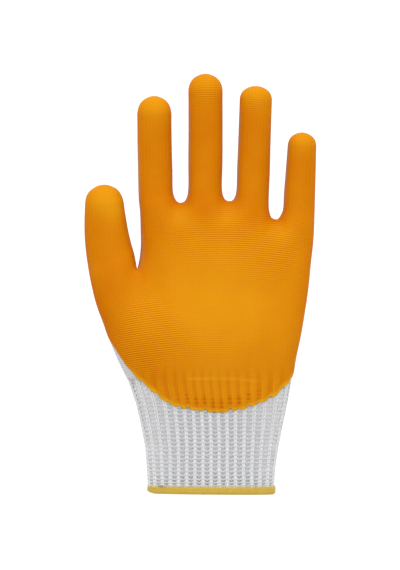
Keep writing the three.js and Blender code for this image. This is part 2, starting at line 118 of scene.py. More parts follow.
Pad = namedtuple("Pad", "x y rise rx ry")
pads = [
    Pad(-18, 163, 1.3, 9, 7),
    Pad(11.5, 164, 1.3, 9, 7),
    Pad(39, 153, 1.2, 9, 7),
    Pad(-40, 102, 1.4, 14, 15),
    Pad(-36, 126, -1.6, 7, 14),
]


def lerp(a, b, share):
    return a + (b - a) * share


def smoothstep(value, start, end):
    share = np.clip((value - start) / (end - start), 0, 1)
    return share * share * (3 - 2 * share)


# Height of a section's palm side and back at x, and its fullness there, from 0 at the sides.
Heights = namedtuple("Heights", "palm back fullness")


def heights_at(x, section, power, flatness):
    middle = (section.left + section.right) / 2
    offset = min(abs(x - middle) / ((section.right - section.left) / 2), 1)
    fullness = (1 - offset**power) ** (1 / power)
    level = (section.low + section.high) / 2
    half = (section.high - section.low) / 2
    return Heights(level + half * fullness, level - half * min(1, flatness * fullness), fullness)


def blend_heights(a, b, share):
    return Heights(*(lerp(p, q, share) for p, q in zip(a, b)))


def pad_rise(x, y):
    return sum(
        pad.rise * np.exp(-(((x - pad.x) / pad.rx) ** 2) - ((y - pad.y) / pad.ry) ** 2)
        for pad in pads
    )


# A coarse net of four-sided faces gives the outer form. A point holds x, y and z, turn, which
# runs from 1 on the palm through 0 at the sides to -1 on the back, wale, which is the distance
# over the fabric across the glove, and tip, which rises to 1 at the end of a digit.
net_points = []
net_faces = []
net_zones = []  # one for each face: wrist or glove
Column = namedtuple("Column", "x y heights wale")
Row = namedtuple("Row", "left palm right back")


def add_point(x, y, z, turn, wale, tip=0):
    net_points.append((x, y, z, turn, wale, tip))
    return len(net_points) - 1


def side_point(place, section, wale=None, tip=0):
    wale = place[0] if wale is None else wale
    return add_point(*place, (section.low + section.high) / 2, 0, wale, tip)


def add_row(columns, left, right, tip=0):
    palm = [
        add_point(c.x, c.y, c.heights.palm + pad_rise(c.x, c.y), c.heights.fullness, c.wale, tip)
        for c in columns
    ]
    back = [add_point(c.x, c.y, c.heights.back, -c.heights.fullness, c.wale, tip) for c in columns]
    return Row(left, palm, right, back)


# A loop runs from its thumb-side point over the palm to the other side and back underneath.
def loop_of(row, first=0, last=None):
    end = len(row.palm) if last is None else last + 1
    return [row.left, *row.palm[first:end], row.right, *row.back[first:end][::-1]]


def add_face(corners, zone="glove"):
    net_faces.append(corners)
    net_zones.append(zone)


def add_band(lower, upper, zone="glove"):
    for i, corner in enumerate(lower):
        after = (i + 1) % len(lower)
        add_face([corner, lower[after], upper[after], upper[i]], zone)


def add_web(row, column, left_saddle, right_saddle):
    add_face([row.palm[column], row.palm[column + 1], right_saddle, left_saddle])
    add_face([left_saddle, right_saddle, row.back[column + 1], row.back[column]])


def root_section(d):
    return Section(0, -1, 1, digits[d].low[0], digits[d].high[0], 0)


def root_ends(d):
    outer = {0: thumb_outer_root, 1: index_outer_root}
    before = gaps[d - 1]
    start = outer.get(d, (before.x + before.half, before.y))
    end = (gaps[d].x - gaps[d].half, gaps[d].y) if d < len(gaps) else little_outer_root
    return start, end


def side_wale(d, side, width):
    middle = sum(x for x, _ in root_ends(d)) / 2
    return middle + side * side_reach * width / 2


def root_columns(d):
    start, end = root_ends(d)
    columns = []
    for s in across:
        x = lerp(start[0], end[0], (s + 1) / 2)
        y = lerp(start[1], end[1], (s + 1) / 2)
        heights = heights_at(s, root_section(d), digit_power, 1)
        columns.append(Column(x, y, heights, x))
    return columns


thumb_columns = root_columns(0)
finger_columns = [column for d in range(1, len(digits)) for column in root_columns(d)]
last_column = len(across) - 1


def palm_columns(row):
    columns = []
    for root in finger_columns:
        place = (root.x - index_outer_root[0]) / (little_outer_root[0] - index_outer_root[0])
        x = lerp(row.left, row.right, place)
        whole = heights_at(x, row, hand_power, rest_flatness)
        y = lerp(gaps[0].y, root.y, row.y)
        columns.append(Column(x, y, blend_heights(whole, root.heights, row.split), x))
    return columns


gap_columns = thumb_columns + palm_columns(palm_rows[0])


# Columns of a row below the thumb's gap: evenly spread at the cuff, and shifting on the way up
# to the places that the digits need.
def hand_columns(row):
    shift = float(smoothstep(row.y, hand_rows[0].y, gaps[0].y))
    places = []
    for i, column in enumerate(gap_columns):
        swing = math.cos(math.pi * (i + 1) / (len(gap_columns) + 1))
        even = (1 - math.copysign(abs(swing) ** (2 / hand_power), swing)) / 2
        at_gap = (column.x - thumb_outer_root[0]) / (palm_rows[0].right - thumb_outer_root[0])
        places.append(lerp(row.left, row.right, lerp(even, at_gap, shift)))
    parting = (places[last_column] + places[last_column + 1]) / 2
    thumb_form = root_section(0)._replace(left=row.left, right=parting)
    palm_form = palm_rows[0]._replace(left=parting, right=row.right)
    thumb = thumb_form, digit_power, 1
    palm = palm_form, hand_power, rest_flatness
    columns = []
    for i, x in enumerate(places):
        whole = heights_at(x, row, hand_power, rest_flatness)
        parted = heights_at(x, *(thumb if i <= last_column else palm))
        columns.append(Column(x, row.y, blend_heights(whole, parted, row.split), x))
    return columns


def section_at(rows, y):
    heights = [row.y for row in rows]
    return Section(y, *(np.interp(y, heights, [row[i] for row in rows]) for i in range(1, 6)))


# A ring round a digit, square to its axis. Along is 0 at the root and 1 where the tip begins,
# and cap is the angle round the tip.
def add_digit_ring(d, along, cap=0, lean=0):
    digit = digits[d]
    start, end = np.array([digit.x, digit.y]).T
    axis = end - start
    tip_length = digit.dome * digit.width[1] / 2
    straight = np.linalg.norm(axis) - tip_length
    axis /= np.linalg.norm(axis)
    centre = start + axis * (straight * along + tip_length * math.sin(cap))
    centre[0] += digit.bow * math.sin(math.pi * along)
    half_width = lerp(*digit.width, along**taper) / 2 * math.cos(cap)
    low = lerp(*digit.low, along**curl)
    waist = waist_depth * math.sin(math.pi * along**waist_place)
    high = lerp(*digit.high, along**2) - waist
    depth = (high - low) / 2 * math.cos(cap)
    level = (low + high) / 2
    section = Section(0, -1, 1, level - depth, level + depth, 0)
    tip = math.sin(cap)
    middle = side_wale(d, 0, 0)

    def place(s):
        return centre[0] + s * half_width * axis[1], centre[1] - s * half_width * axis[0] + s * lean

    columns = [
        Column(*place(s), heights_at(s, section, digit_power, 1), middle + s * half_width)
        for s in across
    ]
    sides = [
        side_point(place(s), section, side_wale(d, s, 2 * half_width), tip) for s in (-1, 1)
    ]
    return loop_of(add_row(columns, *sides, tip))


def add_digit(d, root_loop):
    digit = digits[d]
    start, end = root_ends(d)
    lowest = (start[1] + end[1]) / 2 + stub
    first = (lowest - digit.y[0]) / (digit.y[1] - digit.y[0] - digit.width[1] / 2)
    lean = (end[1] - start[1]) / 2
    loops = [root_loop]
    for along in [first, *rings]:
        loops.append(add_digit_ring(d, along, lean=lean * max(0, 1 - along / level_by)))
    loops += [add_digit_ring(d, 1, math.radians(angle)) for angle in cap_angles]
    for lower, upper in zip(loops, loops[1:]):
        add_band(lower, upper)
    level = (digit.low[1] + digit.high[1]) / 2
    end = add_point(digit.x[1], digit.y[1], level, 0, side_wale(d, 0, 0), 1)
    for i, corner in enumerate(loops[-1]):
        add_face([corner, loops[-1][(i + 1) % len(loops[-1])], end])


def build_net():
    wrist = [section_at(cuff_rows, y) for y in dipped_wrist]
    rows = []
    for row in [*wrist, *hand_rows]:
        left = side_point((row.left, row.y), row)
        right = side_point((row.right, row.y), row)
        rows.append(add_row(hand_columns(row), left, right))
    left = side_point(thumb_outer_root, root_section(0))
    right = side_point((palm_rows[0].right, gaps[0].y), palm_rows[0])
    gap_row = add_row(gap_columns, left, right)
    loops = [loop_of(row) for row in [*rows, gap_row]]
    for i, (lower, upper) in enumerate(zip(loops, loops[1:])):
        add_band(lower, upper, "wrist" if i < len(wrist) else "glove")

    thumb_end = root_ends(0)[1]
    thumb_saddle = side_point(thumb_end, root_section(0), side_wale(0, 1, digits[0].width[0]))
    palm_saddle = side_point((palm_rows[0].left, gaps[0].y), palm_rows[0])
    add_web(gap_row, last_column, thumb_saddle, palm_saddle)
    add_digit(0, loop_of(gap_row._replace(right=thumb_saddle), 0, last_column))

    lower = loop_of(gap_row._replace(left=palm_saddle), len(across))
    for row in palm_rows[1:]:
        left = (row.left, lerp(gaps[0].y, index_outer_root[1], row.y))
        right = (row.right, lerp(gaps[0].y, little_outer_root[1], row.y))
        sides = side_point(left, row), side_point(right, row)
        upper = loop_of(add_row(palm_columns(row), *sides))
        add_band(lower, upper)
        lower = upper
    left = side_point(index_outer_root, root_section(1))
    right = side_point(little_outer_root, root_section(4))
    root_row = add_row(finger_columns, left, right)
    add_band(lower, loop_of(root_row))

    fingers = range(1, len(digits))
    saddles = {(fingers[0], 0): root_row.left, (fingers[-1], 1): root_row.right}
    for d in fingers:
        for end, side in ((0, -1), (1, 1)):
            if (d, end) not in saddles:
                wale = side_wale(d, side, digits[d].width[0])
                saddles[d, end] = side_point(root_ends(d)[end], root_section(d), wale)
    for d in fingers:
        first = (d - 1) * len(across)
        root = root_row._replace(left=saddles[d, 0], right=saddles[d, 1])
        add_digit(d, loop_of(root, first, first + last_column))
        if d < fingers[-1]:
            add_web(root_row, first + last_column, saddles[d, 1], saddles[d + 1, 0])


# One step of Catmull-Clark subdivision, which rounds a net and keeps its open edge. It also
# gives the number of the face that each new face came from.
def subdivide(points, faces):
    sizes = np.array([len(face) for face in faces])
    corner = np.concatenate(faces)
    owner = np.repeat(np.arange(len(faces)), sizes)
    first = np.cumsum(sizes) - sizes
    after = np.arange(1, len(corner) + 1)
    after[first + sizes - 1] = first
    before = np.empty_like(after)
    before[after] = np.arange(len(corner))

    count = len(points)
    ends = np.sort(np.stack([corner, corner[after]], 1), 1)
    keys, edge = np.unique(ends[:, 0] * count + ends[:, 1], return_inverse=True)
    edge_ends = np.stack([keys // count, keys % count], 1)
    inner_edge = np.bincount(edge) == 2

    face_point = np.add.reduceat(points[corner], first, axis=0) / sizes[:, None]
    middle = points[edge_ends].mean(1)
    beside = np.zeros_like(middle)
    np.add.at(beside, edge, face_point[owner])
    edge_point = np.where(inner_edge[:, None], (middle * 2 + beside) / 4, middle)

    valence = np.bincount(edge_ends.ravel(), minlength=count)[:, None]
    around = np.zeros_like(points)
    np.add.at(around, corner, face_point[owner])
    around /= np.bincount(corner, minlength=count)[:, None]
    middles = np.zeros_like(points)
    np.add.at(middles, edge_ends.ravel(), np.repeat(middle, 2, axis=0))
    moved = (around + 2 * middles / valence + (valence - 3) * points) / valence
    open_ends = edge_ends[~inner_edge]
    along_edge = np.zeros_like(points)
    np.add.at(along_edge, open_ends.ravel(), np.repeat(middle[~inner_edge], 2, axis=0))
    on_edge = np.unique(open_ends)
    moved[on_edge] = points[on_edge] / 2 + along_edge[on_edge] / 4

    new_points = np.concatenate([moved, edge_point, face_point])
    edge_number = count + edge
    face_number = count + len(keys) + owner
    new_faces = np.stack([corner, edge_number, face_number, edge_number[before]], 1)
    return new_points, new_faces, owner


fitting_rounds = 6


# Rounds the net. Its points are moved out first, so that the rounded form passes through the
# places where they were.
def rounded(points, faces, zones, steps):
    control = points.copy()
    for _ in range(fitting_rounds):
        once, once_faces, _ = subdivide(control, faces)
        twice, _, _ = subdivide(once, once_faces)
        control += points - twice[: len(points)]
    for _ in range(steps):
        control, faces, owner = subdivide(control, faces)
        zones = zones[owner]
    return control, faces, zones


def point_normals(places, faces):
    corners = places[faces]
    face_normals = np.cross(corners[:, 2] - corners[:, 0], corners[:, 3] - corners[:, 1])
    normals = np.zeros_like(places)
    np.add.at(normals, faces.ravel(), np.repeat(face_normals, 4, axis=0))
    return normals / np.linalg.norm(normals, axis=1, keepdims=True)


# A closed shell between two offsets of a surface. Its rim joins them along every open edge.
def shell(places, normals, faces, outer, inner):
    used, faces = np.unique(faces, return_inverse=True)
    faces = faces.reshape(-1, 4)
    count = len(used)
    edges = np.stack([faces, np.roll(faces, -1, axis=1)], 2).reshape(-1, 2)
    there = set(map(tuple, edges))
    rim = np.array([(b, a, a + count, b + count) for a, b in there if (b, a) not in there])
    offsets = [np.broadcast_to(offset, len(places))[used, None] for offset in (outer, inner)]
    sheets = [places[used] + normals[used] * offset for offset in offsets]
    return np.concatenate(sheets), np.concatenate([faces, faces[:, ::-1] + count, rim]), used


hem_low, hem_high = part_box("hem_binding")
hem_middle = (cuff_rows[0].left + cuff_rows[0].right) / 2
origin = np.array([(hem_low.x + hem_high.x) / 2 - hem_middle * millimetre, hem_low.y, 0])


def add_object(name, data):
    added = bpy.data.objects.new(name, data)
    bpy.context.scene.collection.objects.link(added)
    return added


def add_piece(name, places, faces, material, replaced, values):
    mesh = bpy.data.meshes.new(name)
    places = np.maximum(places, (-np.inf, -np.inf, table_touch))
    mesh.from_pydata((places * millimetre + origin).tolist(), [], [list(map(int, f)) for f in faces])
    mesh.shade_smooth()
    for key, numbers in values.items():
        mesh.attributes.new(key, "FLOAT", "POINT").data.foreach_set("value", numbers)
    mesh.materials.append(material)
    piece = add_object(name, mesh)
    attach(piece, "root")
    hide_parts(*replaced)


class Socket:
    """A socket of a material. Sums on it add Math nodes, and node() adds any other node."""

    def __init__(self, tree, output=None):
        self.tree = tree
        self.output = output

    def node(self, kind, settings, values, result=0):
        made = self.tree.nodes.new("ShaderNode" + kind)
        for name, setting in settings.items():
            setattr(made, name, setting)
        for name, value in values.items():
            if isinstance(value, Socket):
                self.tree.links.new(value.output, made.inputs[name])
            else:
                made.inputs[name].default_value = value
        return Socket(self.tree, made.outputs[result])

    def math(self, operation, *values):
        return self.node("Math", {"operation": operation}, dict(enumerate(values)))

    def __add__(self, other):
        return self.math("ADD", self, other)

    def __radd__(self, other):
        return self.math("ADD", other, self)

    def __sub__(self, other):
        return self.math("SUBTRACT", self, other)

    def __rsub__(self, other):
        return self.math("SUBTRACT", other, self)

    def __mul__(self, other):
        return self.math("MULTIPLY", self, other)

    def __rmul__(self, other):
        return self.math("MULTIPLY", other, self)

    def __truediv__(self, other):
        return self.math("DIVIDE", self, other)

    def __rtruediv__(self, other):
        return self.math("DIVIDE", other, self)

    def __abs__(self):
        return self.math("ABSOLUTE", self)

    def fraction(self):
        return self.math("FRACT", self)

    def wave(self, period):
        return self.math("SINE", self * (2 * math.pi / period))

    def between(self, low, high):
        values = {"Value": self, "From Min": low, "From Max": high}
        return self.node("MapRange", {"clamp": True}, values)

    def value(self, name):
        return self.node("Attribute", {"attribute_name": name}, {}, "Fac")

    def noise(self, per_metre, detail=2):
        place = self.node("TexCoord", {}, {}, "Object")
        values = {"Vector": place, "Scale": per_metre, "Detail": detail}
        return self.node("TexNoise", {}, values, "Fac")

    def mix(self, share, first, second):
        return self.node("Mix", {"data_type": "RGBA"}, {"Factor": share, 6: first, 7: second}, 2)

    def bump(self, height, distance):
        values = {"Height": height, "Strength": 1, "Distance": distance * millimetre}
        return self.node("Bump", {}, values, "Normal")


def colour(red, green, blue):
    """A colour from its values on a screen, from 0 to 255, as the light that they stand for."""
    shares = [value / 255 for value in (red, green, blue)]
    light = [s / 12.92 if s < 0.0404 else ((s + 0.055) / 1.055) ** 2.4 for s in shares]
    return (*light, 1)


def add_material(name, constants, **varying):
    material = bpy.data.materials.new(name)
    material.use_nodes = True
    shader = material.node_tree.nodes["Principled BSDF"]
    for socket, value in constants.items():
        shader.inputs[socket].default_value = value
    for key, make in varying.items():
        made = make(Socket(material.node_tree))
        material.node_tree.links.new(made.output, shader.inputs[key.replace("_", " ")])
    return material


stitch_width = 1.75  # of the plain knit
stitch_height = 1.29
stitch_slope = 0.55  # how far a stitch's two legs rise, in stitch heights
stitch_contrast = 0.7  # the rest of the contrast is uneven yarn
yarn_white = colour(250, 250, 250)
yarn_shade = colour(198, 198, 202)
yarn_surface = {"Roughness": 0.85, "Sheen Weight": 0.25, "Specular IOR Level": 0.25}


# Rows of V-shaped stitches, 1 on the legs and 0 in the gaps between them.
def plain_stitches(paint):
    from_middle = abs((paint.value("wale") / stitch_width).fraction() - 0.5)
    rise = paint.value("course") / stitch_height - from_middle * (2 * stitch_slope)
    leg = rise.wave(1) * 0.5 + 0.5
    hollow = from_middle.between(0.5, 0.38) * from_middle.between(0, 0.1)
    return leg * hollow


# Painted shade: the gaps between the stitch legs take yarn_shade, which is also the dark end of the
# uneven yarn.
def liner_colour(paint):
    uneven = paint.noise(90) * (1 - stitch_contrast)
    return paint.mix(plain_stitches(paint) * stitch_contrast + uneven, yarn_shade, yarn_white)


liner_yarn = add_material(
    "liner_yarn",
    yarn_surface,
    Base_Color=liner_colour,
    Normal=lambda paint: paint.bump(plain_stitches(paint) + paint.noise(2500) * 0.3, 0.25),
)

build_net()
net = np.array(net_points)
zones = np.array(net_zones)
form, form_faces, form_zones = rounded(net, net_faces, zones, 2)
course_bend = 0.0015  # the rows of stitches curve down towards the sides of the hand
course_middle = 5


def course_of(places):
    return places[:, 1] + course_bend * (places[:, 0] - course_middle) ** 2


liner_faces = form_faces[form_zones == "glove"]
form_normals = point_normals(form[:, :3], form_faces)
sink = rib_groove * (1 - smoothstep(form[:, 1], *ribs_fade))
liner_places, liner_shell, liner_used = shell(
    form[:, :3], form_normals, liner_faces, knit_proud - sink, knit_proud - wall - sink
)
liner_nodes = ["hand", "thumb", "index_finger", "middle_finger", "ring_finger", "little_finger"]
add_piece(
    "knitted_hand",
    liner_places,
    liner_shell,
    liner_yarn,
    liner_nodes,
    {"wale": np.tile(form[liner_used, 4], 2), "course": course_of(liner_places)},
)

# The ribbed cuff
# The same yarn knitted one rib up, one rib down, with elastic, so that it grips the wrist.
# Every course is its own ring of loops, hooked through the loops of the course below it.

rib_count = 34
rib_spread = 0.16  # the ribs at the sides are this much wider at the spread height
rib_lean = 0.008  # and all of them lean this far to the thumb there, in turns
spread_height = 50  # above the hem
spread_limit = 1.4  # both stop growing at this many spread heights
hem_height = 4.4
tight_courses = [1.3, 1.5, 1.9]  # heights of the courses that the hem pulls together
even_courses = 25
ribs_top = cuff_top + 1.8  # the last loops reach up under the hand's fabric
course_height = (ribs_top - hem_height - sum(tight_courses)) / even_courses
loop_samples = 10  # points along the yarn in each loop
loop_middle = 0.3  # height of a loop's middle in its course, in course heights
loop_rise = (0.75, -0.46)  # half a loop's height, raised and sunken; the sunken ones hang down
loop_lean = (0.17, -0.12)  # how far the legs lean apart, raised and sunken, in loop widths
loop_pinch = (0.1, -0.1)  # how far the legs stand closer together
wale_gain = 0.04  # the raised wales are this much wider at each side, in loop widths
rib_lift = 0.2  # the raised wales stand this far out, and the sunken ones as far in
loop_depth = (0.3, 0.08)  # how far a loop's legs come forward, and its head in the sunken wales
yarn_radius = (0.66, 0.38)  # in the raised and in the sunken wales
yarn_sides = 5
tube_centre = knit_proud - rib_lift - loop_depth[0] - yarn_radius[0]
lining_offset = -2.2  # the dense inner side, behind the loops
lining_wall = 0.4
lining_rise = 0.8  # right at the sides it lies closer behind the loops
lining_sides = 8  # the higher, the closer to the sides
lining_top = -1.35  # and so it does all round where the ribs fade into the hand
lining_closes = (56, 66)
lining_heights = [3.5, 20, 36, 50, 56, 60, 64, cuff_top + 3]
lining_points = 3  # round the wrist, for each rib
girth_samples = 2001
tangent_step = 0.002  # in turns


# Points on the wrist's oval, which starts at the thumb side and runs over the palm.
def wrist_oval(turn, y):
    swing = np.cos(2 * math.pi * turn)
    x = -np.sign(swing) * np.abs(swing) ** (2 / hand_power)
    rise = np.abs(np.sin(2 * math.pi * turn)) ** (2 / hand_power)
    lift = np.where(turn % 1 <= 0.5, rise, -np.minimum(1, rest_flatness * rise))
    section = section_at(cuff_rows, y)
    x = lerp(section.left, section.right, (x + 1) / 2)
    return np.stack([x, y + 0 * x, lerp(section.low, section.high, (lift + 1) / 2)], -1)


# The share of its length that an outline has reached at each of its points.
def length_reached(outline):
    steps = np.linalg.norm(np.diff(outline, axis=0), axis=1)
    reached = np.concatenate([[0], np.cumsum(steps)])
    return reached / reached[-1]


# The part of a turn at which a share of the wrist's girth is reached.
def turn_at(share, y):
    turn = np.linspace(0, 1, girth_samples)
    return np.interp(share % 1, length_reached(wrist_oval(turn, y)), turn)


# Ribs stand at equal steps of girth at the hem. Further up they spread more at the sides than
# in the middle, and lean a little to the thumb.
def girth_place(share, y):
    up = np.clip((y - cuff_rows[0].y) / spread_height, 0, spread_limit)
    return share + rib_spread * up * np.sin(4 * math.pi * share) / (4 * math.pi) - rib_lean * up


# Points round the wrist at shares of its girth at the height base, and the directions out.
def round_wrist(share, y, offset, base):
    turn = turn_at(girth_place(share, base), base)
    tangent = wrist_oval(turn + tangent_step, y) - wrist_oval(turn - tangent_step, y)
    outward = np.stack([-tangent[..., 2], 0 * turn, tangent[..., 0]], -1)
    outward /= np.linalg.norm(outward, axis=-1, keepdims=True)
    return wrist_oval(turn, y) + outward * np.asarray(offset)[..., None], outward


# Faces between rings of equal length, which close the last ring with the first one.
def ring_faces(*shape):
    number = np.arange(math.prod(shape)).reshape(shape)
    after = np.roll(number, -1, axis=-1)
    above = np.roll(number, -1, axis=-2)
    above_after = np.roll(above, -1, axis=-1)
    return np.stack([number, after, above_after, above], -1).reshape(-1, 4)


# Tubes along closed yarns, each given as its points and the direction out of the wrist there.
def yarn_tubes(yarns, radius):
    paths, outward = np.array(yarns).swapaxes(0, 1)
    tangent = np.roll(paths, -1, axis=1) - np.roll(paths, 1, axis=1)
    tangent /= np.linalg.norm(tangent, axis=-1, keepdims=True)
    across_yarn = np.cross(tangent, outward)
    across_yarn /= np.linalg.norm(across_yarn, axis=-1, keepdims=True)
    up = np.cross(across_yarn, tangent)
    angle = 2 * math.pi * np.arange(yarn_sides) / yarn_sides
    spokes = [up * math.cos(a) + across_yarn * math.sin(a) for a in angle]
    thickness = np.broadcast_to(radius, paths.shape[1])[:, None]
    points = np.stack([paths + thickness * spoke for spoke in spokes], 2)
    return points.reshape(-1, 3), ring_faces(*points.shape[:3])


def cuff_yarn():
    wales = 2 * rib_count
    t = 2 * math.pi * np.arange(wales * loop_samples) / loop_samples
    wale = t / (2 * math.pi)
    raised = np.sin(math.pi * wale)
    side = np.sign(raised) * np.sqrt(np.abs(raised))
    lean = np.where(raised > 0, *loop_lean) * np.sin(2 * t)
    lean += np.where(raised > 0, *loop_pinch) * np.sin(t)
    share = (wale + 0.5 + lean - wale_gain * np.cos(math.pi * wale)) / wales
    offset = tube_centre + side * (rib_lift - np.where(side > 0, *loop_depth) * np.cos(2 * t))
    radius = lerp(*yarn_radius[::-1], (side + 1) / 2)
    rise = lerp(*loop_rise[::-1], (side + 1) / 2)
    heights = tight_courses + [course_height] * even_courses
    start = hem_height
    courses = []
    for height in heights:
        middle = start + loop_middle * height
        y = middle - rise * height * np.cos(t)
        courses.append(round_wrist(share, y, offset, middle))
        start += height
    points, faces = yarn_tubes(courses, radius)
    front = tube_centre + rib_lift + loop_depth[0]
    depth = np.tile(np.repeat(front - offset, yarn_sides), len(heights))
    return points, faces, depth / (2 * (rib_lift + loop_depth[0]))


def cuff_lining():
    size = lining_points * rib_count
    share = (np.arange(size) + 0.5) / size
    low_offset = lining_offset + lining_rise * np.abs(np.cos(2 * math.pi * share)) ** lining_sides
    outer = []
    inner = []
    for y in lining_heights:
        offset = lerp(low_offset, lining_top, smoothstep(y, *lining_closes))
        outer.append(round_wrist(share, y, offset, y)[0])
        inner.append(round_wrist(share, y, offset - lining_wall, y)[0])
    rings = outer + inner[::-1]
    return np.concatenate(rings), ring_faces(len(rings), size)


cuff_white = colour(240, 240, 240)
# cuff_shade is painted shade for the deeper parts of the loops, and the dark end of the random
# grain.
cuff_shade = colour(224, 224, 227)
lining_grey = colour(238, 238, 242)
lining_painted_light = colour(246, 246, 247)
lining_depth = 2  # the loops have depths from 0 to 1, and this one stands for the lining
cuff_grain = 0.5
lining_lit_sides = (14, 44)  # painted light: the lining is coloured lighter and lighter towards the sides of the cuff, over this range of x


# Painted shade: the loops are coloured darker the deeper they lie, with random grain on top.
def cuff_colour(paint):
    depth = paint.value("depth")
    loops = paint.mix(depth + (paint.noise(400, 3) - 0.5) * cuff_grain, cuff_white, cuff_shade)
    # Painted light: the lining is coloured lighter towards the sides of the cuff.
    lining = paint.mix(paint.value("side"), lining_grey, lining_painted_light)
    return paint.mix(depth.between(1, lining_depth), loops, lining)


cuff_fibre = add_material(
    "cuff_yarn",
    yarn_surface,
    Base_Color=cuff_colour,
    Normal=lambda paint: paint.bump(paint.noise(3500), 0.2),
)

loop_places, loop_faces, loop_depths = cuff_yarn()
lining_places, lining_faces = cuff_lining()
cuff_places = np.concatenate([loop_places, lining_places])
cuff_depths = np.concatenate([loop_depths, np.full(len(lining_places), lining_depth)])
add_piece(
    "ribbed_cuff",
    cuff_places,
    np.concatenate([loop_faces, lining_faces + len(loop_places)]),
    cuff_fibre,
    ["rib_cuff"],
    {"depth": cuff_depths, "side": smoothstep(np.abs(cuff_places[:, 0]), *lining_lit_sides)},
)

# The hem
# The raw edge of the cuff is wrapped in yellow overlock yarn, pulled tight into a smooth band.
# Paler loops of the same yarn hook over its upper edge into the last courses of the ribs.

hem_proud = 0.6
hem_lip = [(-0.5, 0), (-0.1, -0.35)]  # its upper edge, measured from the top of its face
face_top = hem_height - 0.8
hem_round = 1.8  # radius of its lower edges
face_bottom = hem_round + 0.3
hem_levels = 8  # rings up its face
turn_angles = [0, 18, 36, 54, 72, 85]  # and round its lower edges, in degrees
slot_floor = 3  # height of the bottom of the slot that takes the cuff's fabric
slot_room = 0.2
hem_tilt = 0.009  # its lower edge hangs a little lower on the little finger's side
tilt_pivot = 30
hem_shift = 0.35  # it sits this far to that side
corner_lift = 0.7  # its lower corner is rounder on the thumb side
corner_reach = 2.5
hem_pull = 0.12  # the ribs pull its upper edge up and down
pull_depth = 0.5
hem_ridge = 0.07
ridge_pitch = 0.8
hem_size = 340  # points round the band
hook_count = 112
hook_samples = 8
hook_rise = 1.5
hook_seat = 0.4  # the hooks start this far below the top of the band
hook_fullness = 0.8
hook_radius = 0.24
liner_depth = 2.5  # from the face of the ribs to the inside of the cuff
hook_offsets = (hem_proud - 0.35, -liner_depth - 0.4)


def hem_band():
    outside = [(hem_proud + out, hem_height + up) for out, up in hem_lip]
    outside += [(hem_proud, y) for y in np.linspace(face_top, face_bottom, hem_levels)]
    outside += [
        (hem_proud - hem_round * (1 - math.cos(a)), hem_round * (1 - math.sin(a)))
        for a in np.radians(turn_angles)
    ]
    turned = [(-liner_depth - offset, y) for offset, y in reversed(outside)]
    slot = [(-liner_depth - slot_room, y) for y in (hem_height, slot_floor)]
    slot += [(slot_room, y) for y in (slot_floor, hem_height)]
    share = np.arange(hem_size) / hem_size
    level = cuff_rows[0].y
    rings = []
    for offset, y in outside + turned + slot:
        ridge = hem_ridge * math.sin(2 * math.pi * y / ridge_pitch) * math.copysign(1, offset)
        pull = hem_pull * np.sin(2 * math.pi * share * rib_count) * (y > hem_height - pull_depth)
        places = round_wrist(share, level, offset + ridge, level)[0]
        tilt = hem_tilt * (places[:, 0] - tilt_pivot)
        from_corner = (places[:, 0] - cuff_rows[0].left) / corner_reach
        corner = corner_lift * np.exp(-(from_corner**2))
        places[:, 0] += hem_shift
        places[:, 1] = y + pull - tilt + corner * (1 - y / hem_height)
        rings.append(places)
    return np.concatenate(rings[::-1]), ring_faces(len(rings), hem_size)


def hem_hooks():
    t = np.arange(hook_count * hook_samples) / hook_samples
    hook = np.abs(np.sin(math.pi * t)) ** hook_fullness
    share = t / hook_count
    y = hem_height - hook_seat + hook_rise * hook
    level = cuff_rows[0].y
    yarns = []
    for offset in hook_offsets:
        places, outward = round_wrist(share, level, offset, level)
        places[:, 1] = y - hem_tilt * (places[:, 0] - tilt_pivot)
        places[:, 0] += hem_shift
        yarns.append((places, outward))
    return yarn_tubes(yarns, hook_radius)


hem_yellow = colour(221, 187, 74)
hem_shade = colour(203, 167, 58)
hook_cream = colour(236, 226, 190)
mark_brown = colour(96, 84, 62)
mark_place = (-29.4, 5.2)  # a small dark brown spot on the upper edge of the band
mark_size = (1.6, 0.6)
mark_above = 10  # it lies on the palm side only


def hem_colour(paint):
    band = paint.mix(paint.noise(300, 3), hem_shade, hem_yellow)
    hooked = paint.mix(paint.value("hook"), band, hook_cream)
    return paint.mix(paint.value("mark"), hooked, mark_brown)


hem_fibre = add_material(
    "overlock_yarn",
    {"Roughness": 0.7, "Sheen Weight": 0.2, "Specular IOR Level": 0.3},
    Base_Color=hem_colour,
    Normal=lambda paint: paint.bump(paint.noise(1800, 3), 0.2),
)

band_places, band_faces = hem_band()
hook_places, hook_faces = hem_hooks()
hook_share = np.concatenate([np.zeros(len(band_places)), np.ones(len(hook_places))])
hem_places = np.concatenate([band_places, hook_places])
mark_x = (hem_places[:, 0] - mark_place[0]) / mark_size[0]
mark_y = (hem_places[:, 1] - mark_place[1]) / mark_size[1]
mark_share = np.exp(-(mark_x**2) - mark_y**2) * (hem_places[:, 2] > mark_above)
add_piece(
    "hem_binding_yarn",
    hem_places,
    np.concatenate([band_faces, hook_faces + len(band_places)]),
    hem_fibre,
    ["hem_binding"],
    {"hook": hook_share, "mark": mark_share},
)

# The nitrile palm
# The glove is dipped palm down in orange nitrile, which soaks into the knit and sets as a thin
# rubber film. It covers the palm side, wraps the fingertips and ends on the ribs of the cuff.

